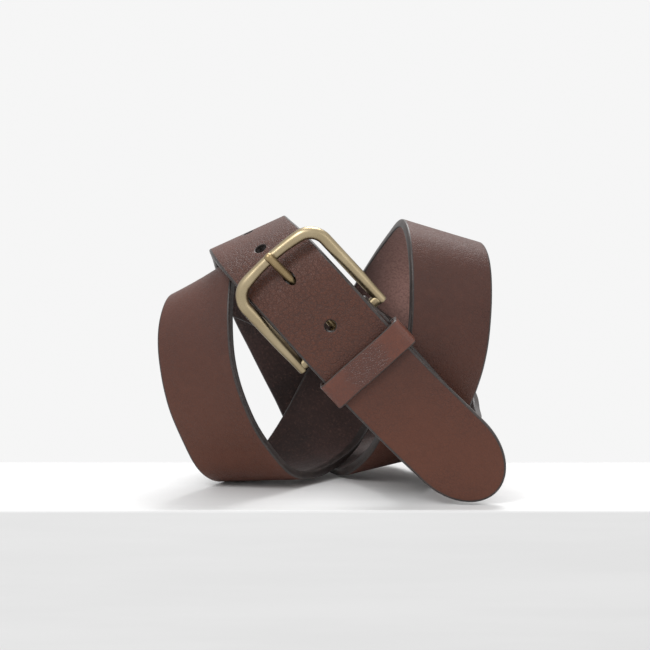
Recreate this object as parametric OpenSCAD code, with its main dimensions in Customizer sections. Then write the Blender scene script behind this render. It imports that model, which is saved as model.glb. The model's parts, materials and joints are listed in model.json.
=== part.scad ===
// Leather belt, coiled in three turns and buckled, standing on its bends.
// +Z up, the buckle faces -Y, the floor is z = 0, the origin is under the middle of the coil.

/* [Strap] */
// width of the strap, mm
strap_width = 38; // [30:0.5:40]
// thickness of the single ply, mm
strap_thick = 3.8; // [3:0.1:4.2]
// thickness of the skived turn round the heel bar, mm
skived_thick = 2.5; // [2:0.1:3]
// length of the turned back end behind the strap, mm
turn_back = 50; // [42:1:60]
// length of the rounded point, mm
tip_round = 27; // [20:1:34]

/* [Holes] */
// diameter of the punched holes, mm
hole_dia = 5; // [4:0.1:5.5]
// distance between two holes, mm
hole_pitch = 25.4; // [20:0.1:30]
// distance from the point to the first hole, mm
hole_first = 104.5; // [95:1:115]
// number of punched holes
hole_count = 5; // [3:1:5]

/* [Buckle] */
// thickness of the round bar of the frame, mm
bar_dia = 5; // [4:0.1:5.2]
// distance between the middles of the two side bars, mm
frame_width = 46; // [45.5:0.5:50]
// distance from the heel bar to the front bar, mm
frame_length = 45.5; // [43:0.5:48]
// radius of the front corners, middle of the bar, mm
corner_r = 9; // [6:0.5:11]
// tilt of the frame away from the strap, degrees
frame_tilt = 7; // [6:0.5:9]
// thickness of the prong, mm
prong_dia = 3.8; // [3:0.1:4]

/* [Keeper] */
// width of the loop along the strap, mm
keeper_width = 13; // [10:0.5:15]
// thickness of the loop leather, mm
keeper_thick = 1.8; // [1.4:0.1:2]
// distance from the heel bar to the middle of the loop, mm
keeper_at = 17.5; // [16:0.5:19]

/* [Rivets] */
// shank diameter of the double cap rivets, mm
rivet_dia = 3; // [2.5:0.1:3.5]
// cap diameter, mm
cap_dia = 8; // [6:0.5:9]
// distance from the heel bar to the rivets, mm
rivet_at = 35; // [34.5:0.5:37]
// distance between the two rivets, mm
rivet_gap = 18; // [14:1:22]

/* [Hidden] */
$fn = 48;

// the heel bar and the slanting strap behind the buckle
heel = [3.3, -42.4, 74.9];          // middle of the heel bar
turn = 42;                          // slope of the heel bar, degrees
along = [sin(turn), 0, -cos(turn)]; // down the strap, away from the buckle
across = [cos(turn), 0, sin(turn)]; // across the strap, up and to the right
face_y = -47.5;                     // front face of the strap under the tail

// Stations of the grain face of the strap, from the buckle end to the point:
// x, y, z of the middle line and the direction of the straight line across.
STATIONS = [
    [8, -47.5, 70.9, 28.2, 0, 25.4],
    [17.3, -47.5, 60.5, 28.2, 0, 25.4],
    [26.8, -47.2, 50, 27.5, 0.3, 26],
    [36.5, -45, 38.8, 26.2, 1.2, 27],
    [45.8, -38.5, 28.3, 25, 2.3, 28.2],
    [52.3, -29, 20.8, 23.7, 3.5, 29.5],
    [55.8, -17, 16, 22.5, 4, 30],
    [57.3, -4, 15.1, 21.5, 4, 30.7],
    [57.3, 9, 15.8, 20.7, 3, 31.2],
    [56.2, 20, 19.7, 20.5, 1.5, 31.7],
    [51.5, 28.7, 26.5, 21, 0, 31.5],
    [42, 33.7, 35.7, 21.5, -1, 31],
    [29.5, 35.2, 45.7, 21.7, -2, 31],
    [17, 35.5, 54.7, 21.7, -3, 31],
    [4, 35, 64, 21.7, -3, 31],
    [-9, 33.5, 73, 21.5, -4, 31],
    [-21.5, 30.5, 80.7, 21, -5, 31],
    [-33, 25.5, 87, 20.7, -7, 31],
    [-43.5, 18.5, 91.5, 21.5, -11, 27.5],
    [-51.5, 9, 94.5, 24.5, -13.5, 23],
    [-57, -2.5, 95, 27, -15.5, 18],
    [-60, -14.5, 91.3, 29.5, -17.3, 13.5],
    [-61.7, -24, 82, 31.5, -18, 9],
    [-62, -29, 69.5, 33, -18, 4.5],
    [-60.5, -31, 56, 33.5, -17.5, 1.5],
    [-57.3, -31, 43, 35, -15.5, 0],
    [-52.8, -29, 30.5, 36, -13, 0],
    [-47, -24, 18.5, 36.7, -10, 1],
    [-40.3, -18.3, 7.6, 37, -7, 2],
    [-32.7, -7.5, 1.3, 37.3, -6, 2.2],
    [-23.7, 5, 0.9, 37.3, -6, 2.5],
    [-14.7, 17.5, 5.3, 37.3, -5, 1],
    [-6.2, 29.5, 15.2, 36.8, -3, -6.5],
    [1.3, 38.5, 28.5, 35.5, -1, -13.5],
    [9.3, 43, 44, 34.2, 0, -16.5],
    [16.8, 44, 58, 34, 0, -17],
    [24.8, 42.3, 72.3, 34, 1.5, -16.7],
    [32.5, 37.3, 86, 34.2, 3, -16],
    [39.3, 28.3, 98.5, 34.8, 5, -14.5],
    [44.8, 16, 108.5, 35.2, 6.5, -13],
    [48.3, 2, 114.5, 35.5, 7.5, -12],
    [50.8, -12, 113.8, 35.7, 8.5, -10],
    [52.5, -23.3, 106.2, 36, 10, -6.5],
    [53.1, -29.7, 94.3, 36, 11, -3.5],
    [52.8, -32, 80.5, 36, 11.7, -1.5],
    [51.5, -31.5, 66.5, 36, 11.5, 0],
    [49, -28.5, 53, 36.3, 11, 1.5],
    [45.5, -23, 40, 36.3, 10.5, 4],
    [41, -16, 28.3, 35.8, 9, 6.5],
    [35.8, -7.5, 17.5, 35.5, 7.5, 8],
    [29.8, 1.5, 9.2, 36, 5, 8.5],
    [23.8, 11.5, 4.2, 36.2, 3, 8],
    [17, 24, 3.2, 36.8, 3, 6],
    [10.3, 36.3, 4.8, 37, 3, 4.5],
    [3, 45.5, 11.7, 36.8, 2, 6.5],
    [-3.7, 50.5, 23, 35.7, 1.5, 12],
    [-10, 52.2, 36.5, 34.5, 0.5, 16],
    [-16.5, 52.3, 49.5, 34, -0.5, 16.5],
    [-22.8, 51.3, 62.5, 34, -1, 16.3],
    [-28.7, 48.3, 75, 34.2, -0.5, 15.8],
    [-33.2, 42.3, 87.3, 34.4, 2, 15.2],
    [-36.3, 33, 98.3, 34.5, 5, 14.7],
    [-38, 20.5, 107, 34.5, 8.5, 14.3],
    [-38.7, 6, 112.7, 34.2, 11, 14.2],
    [-38, -9, 114.7, 33.7, 11.7, 15],
    [-35, -23.5, 113, 32, 10, 18.5],
    [-29.3, -36.3, 108.5, 29.9, 5, 22.3],
    [-21.3, -45.2, 100.8, 28.2, 1.5, 24.8],
    [-11.7, -50.5, 91, 27, 0, 26.5],
    [-1.3, -52.3, 79.6, 26.5, 0, 27],
    [9.3, -52.5, 67.8, 26.5, 0, 27],
    [20.2, -52.5, 56.2, 27, 0, 27],
    [31.3, -52.4, 44.7, 27, 0, 27],
    [42.6, -52, 33.5, 27, 0, 27],
    [52.9, -51.5, 23.4, 27, 0, 27]
];

// ---- smooth curve through the stations (cubic B-spline that meets them)
function ends(c) = concat([2*c[0] - c[1]], c, [2*c[len(c)-1] - c[len(c)-2]]);
function refine(c, s, k) = k == 0 ? c :
    let (e = ends(c))
    refine([for (i = [0:len(c)-1]) c[i] + s[i] - (e[i] + 4*e[i+1] + e[i+2])/6], s, k - 1);
CTRL = ends(refine(STATIONS, STATIONS, 8));
function bs(i, t) = (pow(1-t, 3)*CTRL[i] + (3*pow(t, 3) - 6*t*t + 4)*CTRL[i+1]
    + (-3*pow(t, 3) + 3*t*t + 3*t + 1)*CTRL[i+2] + pow(t, 3)*CTRL[i+3])/6;
steps = 3;
last = len(STATIONS) - 1;
COIL = concat([for (i = [0:last-1]) for (j = [0:steps-1]) bs(i, j/steps)], [STATIONS[last]]);

// ---- the turned back end, in distance along the strap (a) and depth (y)
bar_gap = 0.15;
fold_r = bar_dia/2 + bar_gap + skived_thick;
fold_c = face_y + fold_r;           // depth of the heel bar
back_out = face_y + strap_thick + 0.3 + skived_thick;
lift = keeper_thick + 0.65;         // room for the back leg of the loop
function at(a, y) = [heel[0] + along[0]*a, y, heel[2] + along[2]*a, across[0], across[1], across[2]];
function ease(t) = t <= 0 ? 0 : t >= 1 ? 1 : t*t*(3 - 2*t);
function back_y(a) = back_out + lift*(1 - ease((a - 26.5)/4))
    + (fold_c + fold_r - back_out - lift)*(1 - ease((a - 1)/6));
FOLD = concat(
    [for (a = [turn_back, 41]) at(a, back_y(a))],
    [for (a = [30.5, 29.5, 28.5, 27.5, 26.5, 23, 18, 12, 8, 6.5, 5, 3.8, 2.6, 1.4]) at(a, back_y(a))],
    [for (g = [90:-15:-90]) at(-fold_r*cos(g), fold_c + fold_r*sin(g))],
    [at(2.5, face_y)]);

// ---- the rounded point beyond the last station
function unit(v) = v/norm(v);
function p3(s) = [s[0], s[1], s[2]];
function w3(s) = [s[3], s[4], s[5]];
e_dir = unit(p3(STATIONS[last]) - p3(STATIONS[last-1]));
tip_steps = 10;
function tip_x(k) = tip_round*sin(90*k/tip_steps);
TIP = [for (k = [1:tip_steps]) let (p = p3(STATIONS[last]) + e_dir*tip_x(k), w = w3(STATIONS[last]))
    [p[0], p[1], p[2], w[0], w[1], w[2]]];

PATH = concat(FOLD, COIL, TIP);
n_fold = len(FOLD);
n_path = len(PATH);
function pt(i) = p3(PATH[i]);
function tan_at(i) = unit(i == 0 ? pt(1) - pt(0) : i == n_path-1 ? pt(i) - pt(i-1)
    : unit(pt(i+1) - pt(i)) + unit(pt(i) - pt(i-1)));
function rule(i) = let (t = tan_at(i), w = w3(PATH[i]), q = w - (w*t)*t) w/norm(q);
function out_n(i) = let (t = tan_at(i), w = w3(PATH[i])) unit(cross(t, w - (w*t)*t));
function half_w(i) = i < n_path - tip_steps ? strap_width/2
    : let (k = i - (n_path - tip_steps) + 1) max(0.8, strap_width/2*cos(90*k/tip_steps));
function thick(i) = i < n_fold ? skived_thick
    : i > n_fold + 6 ? strap_thick
    : skived_thick + (strap_thick - skived_thick)*ease((i - n_fold)/6);

// distance along the strap measured from the point
CUM = [for (i = n_path-1, s = 0; i >= 0; i = i - 1, s = s + (i >= 0 ? norm(pt(i+1) - pt(i)) : 0)) [s, i]];
function ring_at(d) = lookup(d, CUM);
function pt_at(d) = let (r = ring_at(d), i = floor(r), f = r - i) pt(i)*(1-f) + pt(i+1)*f;
function n_at(d) = let (r = ring_at(d), i = floor(r), f = r - i) unit(out_n(i)*(1-f) + out_n(i+1)*f);

module along_dir(p, v) {
    translate(p) rotate([0, acos(v[2]/norm(v)), atan2(v[1], v[0])]) children();
}

// local frame of the buckle: x across, y from heel bar to front bar, z off the strap
module at_heel(tilt = 0) {
    translate([heel[0], fold_c, heel[2]]) rotate([0, -turn, 0]) rotate([90 + tilt, 0, 0]) children();
}

// prong: straight shank leaving the heel bar, slightly bent up behind the hole
bend_y = 30;
rise1 = 1.9;
tip_y = 46.2;
rise2 = 10.35;
prong_slope = atan((rise2 - rise1)/(tip_y - bend_y));
module prong_run(d, y1, y2) {
    // bent rod from y1 to y2 in the heel frame
    if (y1 < bend_y) hull_free(d, [0, max(0, y1), rise1*max(0, y1)/bend_y], [0, bend_y, rise1]);
    hull_free(d, [0, bend_y, rise1], [0, y2, rise1 + (rise2 - rise1)*(y2 - bend_y)/(tip_y - bend_y)]);
    translate([0, bend_y, rise1]) sphere(d = d + 0.06);
    translate([0, y2, rise1 + (rise2 - rise1)*(y2 - bend_y)/(tip_y - bend_y)]) sphere(d = d + 0.06);
}
module hull_free(d, a, b) {
    along_dir(a, b - a) cylinder(d = d, h = norm(b - a));
}

module strap() {
    pts = [for (i = [0:n_path-1])
        let (p = pt(i), r = rule(i)*half_w(i), n = out_n(i)*thick(i))
        each [p - r, p + r, p + r - n, p - r - n]];
    faces = concat(
        [[0, 2, 1], [0, 3, 2]],
        [for (i = [0:n_path-2]) for (k = [0:3])
            let (a = 4*i + k, b = 4*i + (k+1)%4, c = 4*(i+1) + (k+1)%4, d = 4*(i+1) + k)
            each [[a, c, d], [a, b, c]]],
        [let (m = 4*(n_path-1)) [m, m+1, m+2], let (m = 4*(n_path-1)) [m, m+2, m+3]]);
    color([0.36, 0.22, 0.17])
    difference() {
        polyhedron(pts, faces, convexity = 20);
        // punched holes
        for (k = [0:hole_count-1]) if (k != 1)
            let (d = hole_first + k*hole_pitch, p = pt_at(d), v = n_at(d))
                along_dir(p - v*(strap_thick + 1.2), v) cylinder(d = hole_dia, h = strap_thick + 2.4);
        // worn hole round the prong
        for (g = [-0.3, 0.8, 2]) at_heel(g) prong_channel(prong_dia + 1);
        // slot for the prong in the turn
        at_heel() translate([-3.7, -5.3, -7]) cube([7.4, 14.8, 12.5]);
    }
}
module prong_channel(d) {
    a = [0, bend_y, rise1];
    b = [0, 41, rise1 + (rise2 - rise1)*(41 - bend_y)/(tip_y - bend_y)];
    c = [0, 21, rise1*21/bend_y];
    hull_free(d, a, b);
    hull_free(d, c, a);
    translate(a) sphere(d = d + 0.06);
}
module rivet_place(s) {
    translate([heel[0] + along[0]*rivet_at + across[0]*s*rivet_gap/2, face_y,
        heel[2] + along[2]*rivet_at + across[2]*s*rivet_gap/2]) rotate([-90, 0, 0]) children();
}
stack = back_out - face_y;
// the shanks are driven through both layers of leather, which grip them
module rivet_posts() {
    color([0.62, 0.52, 0.34]) for (s = [-1, 1]) rivet_place(s) {
        translate([0, 0, -0.75]) cylinder(d = cap_dia, h = 0.74);
        translate([0, 0, -0.5]) cylinder(d = rivet_dia, h = stack + 0.5);
    }
}
module rivet_caps() {
    color([0.62, 0.52, 0.34]) for (s = [-1, 1]) rivet_place(s)
        translate([0, 0, stack + 0.01]) {
            cylinder(d = cap_dia, h = 0.8);
            translate([0, 0, 0.8]) cylinder(d1 = cap_dia, d2 = cap_dia - 2.4, h = 0.8);
        }
}

bow_r = 100;
bow_a = asin((frame_width/2 - corner_r)/(bow_r - corner_r));
bow_c = frame_length - bow_r;
corner_y = bow_c + (bow_r - corner_r)*cos(bow_a);
end_y = -bar_dia/2;
sides = 20;
function arc2(c, r, a1, a2, n) = [for (i = [0:n]) let (a = a1 + (a2 - a1)*i/n) [c[0] + r*cos(a), c[1] + r*sin(a)]];
// middle line of the open bar, from the right heel end round the front to the left one
RIGHT = [[frame_width/2, end_y], [frame_width/2, end_y + 0.5], [frame_width/2, 6], [frame_width/2, 15], [frame_width/2, 24]];
BAR_LINE = concat(RIGHT,
    arc2([frame_width/2 - corner_r, corner_y], corner_r, 0, 86 - bow_a, 8),
    arc2([0, bow_c], bow_r, 90 - bow_a, 90 + bow_a, 14),
    arc2([-(frame_width/2 - corner_r), corner_y], corner_r, 94 + bow_a, 180, 8),
    [for (i = [len(RIGHT)-1:-1:0]) [-RIGHT[i][0], RIGHT[i][1]]]);
n_bar = len(BAR_LINE);
// the bar is fullest at the front corners and slimmer towards the heel
function bar_rad(p) = p[1] < end_y + 0.3 ? bar_dia/2 - 0.55
    : bar_dia/2*(0.97 + 0.14*ease((p[1] - 2)/14)*ease((abs(p[0]) - 6)/10));
module open_bar() {
    pts = [for (i = [0:n_bar-1])
        let (p = BAR_LINE[i], a = BAR_LINE[max(0, i-1)], b = BAR_LINE[min(n_bar-1, i+1)],
            d = [b[0]-a[0], b[1]-a[1]]/norm(b - a), r = bar_rad(p))
        for (k = [0:sides-1]) let (g = 360*k/sides)
            [p[0] + d[1]*r*cos(g), p[1] - d[0]*r*cos(g), r*sin(g)]];
    faces = concat([[for (k = [sides-1:-1:0]) k]],
        [for (i = [0:n_bar-2]) for (k = [0:sides-1])
            let (a = sides*i + k, b = sides*i + (k+1)%sides, c = sides*(i+1) + (k+1)%sides, d = sides*(i+1) + k)
            each [[a, c, d], [a, b, c]]],
        [[for (k = [0:sides-1]) sides*(n_bar-1) + k]]);
    polyhedron(pts, faces, convexity = 6);
}
module buckle_frame() {
    color([0.66, 0.55, 0.36]) at_heel(frame_tilt) {
        difference() {
            open_bar();
            // notch where the prong rests
            translate([0, frame_length, bar_dia/2 + prong_dia/2 - 0.35])
                rotate([-90 + prong_slope - frame_tilt, 0, 0]) translate([0, 0, -7]) cylinder(d = prong_dia + 0.4, h = 14);
        }
        // round heel bar between the two side bars
        translate([-frame_width/2 + 0.7, 0, 0]) rotate([0, 90, 0]) cylinder(d = bar_dia, h = frame_width - 1.4);
    }
}

module prong() {
    color([0.66, 0.55, 0.36]) at_heel() difference() {
        union() {
            translate([-3, 0, 0]) rotate([0, 90, 0]) cylinder(d = bar_dia + 3.6, h = 6);
            prong_run(prong_dia, 0, tip_y);
        }
        translate([-4, 0, 0]) rotate([0, 90, 0]) cylinder(d = bar_dia + 0.16, h = 8);
    }
}

// keeper loop round the tail and the strap, its back leg inside the turned back end
k_in = strap_width + 3.2;
k_front = face_y - 1.1 - strap_thick - 0.9;
k_back = face_y + strap_thick + 0.3;
module at_keeper() {
    translate([heel[0] + along[0]*keeper_at, 0, heel[2] + along[2]*keeper_at]) rotate([0, -turn, 0]) children();
}
module keeper() {
    r = 1.2;
    color([0.42, 0.24, 0.17]) at_keeper() difference() {
        translate([-k_in/2 - keeper_thick + 0.5, k_front - keeper_thick, -keeper_width/2])
            cube([k_in + 2*keeper_thick, k_back - k_front + 2*keeper_thick, keeper_width]);
        translate([-k_in/2 + 0.5, k_front, -keeper_width/2 - 1])
            cube([k_in, k_back - k_front, keeper_width + 2]);
        for (z = [-3, 3]) translate([0.5, k_back - 1, z]) rotate([-90, 0, 0]) cylinder(d = 0.82, h = keeper_thick + 2);
    }
}
module keeper_staple() {
    color([0.55, 0.5, 0.42]) at_keeper() translate([0.5, 0, 0]) {
        for (z = [-3, 3]) translate([0, k_back - 0.1, z]) rotate([-90, 0, 0]) cylinder(d = 0.8, h = keeper_thick + 0.35);
        translate([-0.4, k_back + keeper_thick + 0.01, -3.4]) cube([0.8, 0.3, 6.8]);
    }
}

// the lowest edges of the coil stand on z = 0
module stand() translate([1.1, 1.27, 0.9]) children();

stand() strap();
stand() rivet_posts();
stand() rivet_caps();
stand() buckle_frame();
stand() prong();
stand() keeper();
stand() keeper_staple();
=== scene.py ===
import json
import math
import bpy
import bmesh
import numpy as np
from mathutils import Matrix, Vector

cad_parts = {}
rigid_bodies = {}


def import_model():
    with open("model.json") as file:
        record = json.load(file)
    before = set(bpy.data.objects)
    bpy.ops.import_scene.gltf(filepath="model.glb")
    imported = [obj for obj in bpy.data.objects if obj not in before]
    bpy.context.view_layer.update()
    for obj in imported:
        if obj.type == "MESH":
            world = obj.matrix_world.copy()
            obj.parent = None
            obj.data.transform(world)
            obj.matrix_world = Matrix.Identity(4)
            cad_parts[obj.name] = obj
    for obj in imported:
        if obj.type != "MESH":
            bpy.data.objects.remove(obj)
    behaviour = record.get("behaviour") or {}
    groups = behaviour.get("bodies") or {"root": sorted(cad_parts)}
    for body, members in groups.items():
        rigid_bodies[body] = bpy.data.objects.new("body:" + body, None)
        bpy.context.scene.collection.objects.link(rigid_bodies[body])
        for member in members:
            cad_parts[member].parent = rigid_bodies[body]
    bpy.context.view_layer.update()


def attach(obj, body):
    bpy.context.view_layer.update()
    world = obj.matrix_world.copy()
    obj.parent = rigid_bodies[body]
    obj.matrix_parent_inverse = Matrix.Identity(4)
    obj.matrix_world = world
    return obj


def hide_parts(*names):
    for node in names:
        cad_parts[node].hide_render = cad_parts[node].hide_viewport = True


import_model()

MM = 0.001
CAD_OBJECTS = set(o.name for o in bpy.data.objects)
UP = 1.0                      # the whole belt stands 1 mm above its own datum
HEEL = np.array([3.3, -42.35, 74.9])
TURN_A = math.radians(42)
ALONG = np.array([math.sin(TURN_A), 0, -math.cos(TURN_A)])
ACROSS = np.array([math.cos(TURN_A), 0, math.sin(TURN_A)])
FACE_Y = -47.5
WIDTH, THICK, SKIVED = 38.0, 3.8, 2.5
BAR, PRONG = 5.0, 3.8
HOLE, PITCH, FIRST = 5.0, 25.4, 104.5
TILT = 7.0

STATIONS = [
    [8, -47.5, 70.9, 28.2, 0, 25.4],
    [17.3, -47.5, 60.5, 28.2, 0, 25.4],
    [26.8, -47.2, 50, 27.5, 0.3, 26],
    [36.5, -45, 38.8, 26.2, 1.2, 27],
    [45.8, -38.5, 28.3, 25, 2.3, 28.2],
    [52.3, -29, 20.8, 23.7, 3.5, 29.5],
    [55.8, -17, 16, 22.5, 4, 30],
    [57.3, -4, 15.1, 21.5, 4, 30.7],
    [57.3, 9, 15.8, 20.7, 3, 31.2],
    [56.2, 20, 19.7, 20.5, 1.5, 31.7],
    [51.5, 28.7, 26.5, 21, 0, 31.5],
    [42, 33.7, 35.7, 21.5, -1, 31],
    [29.5, 35.2, 45.7, 21.7, -2, 31],
    [17, 35.5, 54.7, 21.7, -3, 31],
    [4, 35, 64, 21.7, -3, 31],
    [-9, 33.5, 73, 21.5, -4, 31],
    [-21.5, 30.5, 80.7, 21, -5, 31],
    [-33, 25.5, 87, 20.7, -7, 31],
    [-43.5, 18.5, 91.5, 21.5, -11, 27.5],
    [-51.5, 9, 94.5, 24.5, -13.5, 23],
    [-57, -2.5, 95, 27, -15.5, 18],
    [-60, -14.5, 91.3, 29.5, -17.3, 13.5],
    [-61.7, -24, 82, 31.5, -18, 9],
    [-62, -29, 69.5, 33, -18, 4.5],
    [-60.5, -31, 56, 33.5, -17.5, 1.5],
    [-57.3, -31, 43, 35, -15.5, 0],
    [-52.8, -29, 30.5, 36, -13, 0],
    [-47, -24, 18.5, 36.7, -10, 1],
    [-40.3, -18.3, 7.6, 37, -7, 2],
    [-32.7, -7.5, 1.3, 37.3, -6, 2.2],
    [-23.7, 5, 0.9, 37.3, -6, 2.5],
    [-14.7, 17.5, 5.3, 37.3, -5, 1],
    [-6.2, 29.5, 15.2, 36.8, -3, -6.5],
    [1.3, 38.5, 28.5, 35.5, -1, -13.5],
    [9.3, 43, 44, 34.2, 0, -16.5],
    [16.8, 44, 58, 34, 0, -17],
    [24.8, 42.3, 72.3, 34, 1.5, -16.7],
    [32.5, 37.3, 86, 34.2, 3, -16],
    [39.3, 28.3, 98.5, 34.8, 5, -14.5],
    [44.8, 16, 108.5, 35.2, 6.5, -13],
    [48.3, 2, 114.5, 35.5, 7.5, -12],
    [50.8, -12, 113.8, 35.7, 8.5, -10],
    [52.5, -23.3, 106.2, 36, 10, -6.5],
    [53.1, -29.7, 94.3, 36, 11, -3.5],
    [52.8, -32, 80.5, 36, 11.7, -1.5],
    [51.5, -31.5, 66.5, 36, 11.5, 0],
    [49, -28.5, 53, 36.3, 11, 1.5],
    [45.5, -23, 40, 36.3, 10.5, 4],
    [41, -16, 28.3, 35.8, 9, 6.5],
    [35.8, -7.5, 17.5, 35.5, 7.5, 8],
    [29.8, 1.5, 9.2, 36, 5, 8.5],
    [23.8, 11.5, 4.2, 36.2, 3, 8],
    [17, 24, 3.2, 36.8, 3, 6],
    [10.3, 36.3, 4.8, 37, 3, 4.5],
    [3, 45.5, 11.7, 36.8, 2, 6.5],
    [-3.7, 50.5, 23, 35.7, 1.5, 12],
    [-10, 52.2, 36.5, 34.5, 0.5, 16],
    [-16.5, 52.3, 49.5, 34, -0.5, 16.5],
    [-22.8, 51.3, 62.5, 34, -1, 16.3],
    [-28.7, 48.3, 75, 34.2, -0.5, 15.8],
    [-33.2, 42.3, 87.3, 34.4, 2, 15.2],
    [-36.3, 33, 98.3, 34.5, 5, 14.7],
    [-38, 20.5, 107, 34.5, 8.5, 14.3],
    [-38.7, 6, 112.7, 34.2, 11, 14.2],
    [-38, -9, 114.7, 33.7, 11.7, 15],
    [-35, -23.5, 113, 32, 10, 18.5],
    [-29.3, -36.3, 108.5, 29.9, 5, 22.3],
    [-21.3, -45.2, 100.8, 28.2, 1.5, 24.8],
    [-11.7, -50.5, 91, 27, 0, 26.5],
    [-1.3, -52.3, 79.6, 26.5, 0, 27],
    [9.3, -52.5, 67.8, 26.5, 0, 27],
    [20.2, -52.5, 56.2, 27, 0, 27],
    [31.3, -52.4, 44.7, 27, 0, 27],
    [42.6, -52, 33.5, 27, 0, 27],
    [52.9, -51.5, 23.4, 27, 0, 27]
]

# ------------------------------------------------------------------ strap centreline
ST = np.array(STATIONS, float)


def ends(c):
    return np.vstack([2 * c[0] - c[1], c, 2 * c[-1] - c[-2]])


ctrl = ST.copy()
for _ in range(8):
    e_ = ends(ctrl)
    ctrl = ctrl + ST - (e_[:-2] + 4 * e_[1:-1] + e_[2:]) / 6
ctrl = ends(ctrl)


def bs(i, t):
    return ((1 - t) ** 3 * ctrl[i] + (3 * t ** 3 - 6 * t * t + 4) * ctrl[i + 1]
            + (-3 * t ** 3 + 3 * t * t + 3 * t + 1) * ctrl[i + 2] + t ** 3 * ctrl[i + 3]) / 6


def ease(t):
    t = min(max(t, 0.0), 1.0)
    return t * t * (3 - 2 * t)


FOLD_R = BAR / 2 + 0.15 + SKIVED
FOLD_C = FACE_Y + FOLD_R
BACK = FACE_Y + THICK + 0.3 + SKIVED
LIFT = 1.8 + 0.65
TURN = 50.0


def at(a, y):
    return [HEEL[0] + ALONG[0] * a, y, HEEL[2] + ALONG[2] * a, ACROSS[0], ACROSS[1], ACROSS[2]]


def back_y(a):
    return (BACK + LIFT * (1 - ease((a - 26.5) / 4))
            + (FOLD_C + FOLD_R - BACK - LIFT) * (1 - ease((a - 1) / 6)))


fold = [at(a, back_y(a)) for a in np.arange(TURN, 31.0, -1.5)]
fold += [at(a, back_y(a)) for a in np.arange(30.8, 1.3, -0.45)]
fold += [at(-FOLD_R * math.cos(math.radians(g)), FOLD_C + FOLD_R * math.sin(math.radians(g)))
         for g in np.arange(90, -90.1, -6)]
fold += [at(2.5, FACE_Y)]
STEPS = 10
coil = [bs(i, j / STEPS) for i in range(len(ST) - 1) for j in range(STEPS)]
PATH = np.array(fold + coil + [ST[-1]], float)
PATH[:, 2] += UP
N_FOLD = len(fold)
NP = len(PATH)
P = PATH[:, :3]
seg = np.diff(P, axis=0)
ln = np.linalg.norm(seg, axis=1)
dirs = seg / ln[:, None]
T = np.vstack([dirs[0], dirs[:-1] + dirs[1:], dirs[-1]])
T /= np.linalg.norm(T, axis=1)[:, None]
W = PATH[:, 3:]
Q = W - (W * T).sum(1)[:, None] * T
NQ = np.linalg.norm(Q, axis=1)
RULE = W / NQ[:, None]
NRM = np.cross(T, Q)
NRM /= np.linalg.norm(NRM, axis=1)[:, None]
S_ALL = np.concatenate([[0], np.cumsum(ln)])
TIP = 27.0
TOTAL = S_ALL[-1] + TIP
thick = np.full(NP, THICK)
ramp = 2 * STEPS
for i in range(NP):
    thick[i] = SKIVED if i < N_FOLD else SKIVED + (THICK - SKIVED) * ease((i - N_FOLD) / ramp)


def point_at(d):
    """centre, direction and outward normal at distance d from the point of the belt"""
    s = TOTAL - d
    i = int(np.clip(np.searchsorted(S_ALL, s) - 1, 0, NP - 2))
    f = (s - S_ALL[i]) / ln[i]
    n = NRM[i] * (1 - f) + NRM[i + 1] * f
    t = T[i] * (1 - f) + T[i + 1] * f
    return P[i] * (1 - f) + P[i + 1] * f, t / np.linalg.norm(t), n / np.linalg.norm(n)


# ------------------------------------------------------------------ mesh helpers
def make_mesh(name, verts, faces, mats=(), uvs=None, smooth=True, mat_index=None):
    me = bpy.data.meshes.new(name)
    me.from_pydata([tuple(map(float, v)) for v in verts], [], faces)
    if uvs is not None:
        layer = me.uv_layers.new(name="UVMap")
        loop_v = np.zeros(len(me.loops), np.int32)
        me.loops.foreach_get("vertex_index", loop_v)
        layer.data.foreach_set("uv", np.asarray(uvs, np.float32)[loop_v].ravel())
    for m in mats:
        me.materials.append(m)
    if mat_index is not None:
        me.polygons.foreach_set("material_index", np.asarray(mat_index, np.int32))
    if smooth:
        me.polygons.foreach_set("use_smooth", np.ones(len(me.polygons), bool))
    me.update()
    me.validate()
    ob = bpy.data.objects.new(name, me)
    bpy.context.scene.collection.objects.link(ob)
    return ob


def clean(ob, dist=1e-6):
    bm = bmesh.new()
    bm.from_mesh(ob.data)
    bmesh.ops.remove_doubles(bm, verts=bm.verts, dist=dist)
    bmesh.ops.dissolve_degenerate(bm, edges=bm.edges, dist=dist)
    bmesh.ops.recalc_face_normals(bm, faces=bm.faces)
    bm.to_mesh(ob.data)
    bm.free()
    ob.data.update()


def apply_mods(ob):
    dg = bpy.context.evaluated_depsgraph_get()
    me = bpy.data.meshes.new_from_object(ob.evaluated_get(dg), preserve_all_data_layers=True, depsgraph=dg)
    old = ob.data
    ob.modifiers.clear()
    ob.data = me
    bpy.data.meshes.remove(old)


def cut(ob, cutters):
    """cuts one after another; a cut that would lose the body is tried again a hair to one side"""
    for c in cutters:
        for attempt in range(4):
            count = len(ob.data.polygons)
            keep = ob.data.copy()
            c.location = Vector((0.0000131, 0.0000072, 0.0000113)) * attempt
            m = ob.modifiers.new("cut", "BOOLEAN")
            m.operation = "DIFFERENCE"
            m.solver = "EXACT"
            m.object = c
            m.material_mode = "TRANSFER"
            bpy.context.view_layer.update()
            apply_mods(ob)
            if len(ob.data.polygons) >= 0.8 * count:
                bpy.data.meshes.remove(keep)
                break
            bad = ob.data
            ob.data = keep
            bpy.data.meshes.remove(bad)
            print("CUT FAILED", ob.name, c.name, attempt)
        me = c.data
        bpy.data.objects.remove(c)
        bpy.data.meshes.remove(me)


def sharp_by_angle(ob, deg):
    """smooth shading that keeps true corners sharp"""
    bm = bmesh.new()
    bm.from_mesh(ob.data)
    lim = math.radians(deg)
    for e in bm.edges:
        if len(e.link_faces) == 2:
            e.smooth = e.calc_face_angle(0) < lim
    for f in bm.faces:
        f.smooth = True
    bm.to_mesh(ob.data)
    bm.free()
    ob.data.update()


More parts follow.
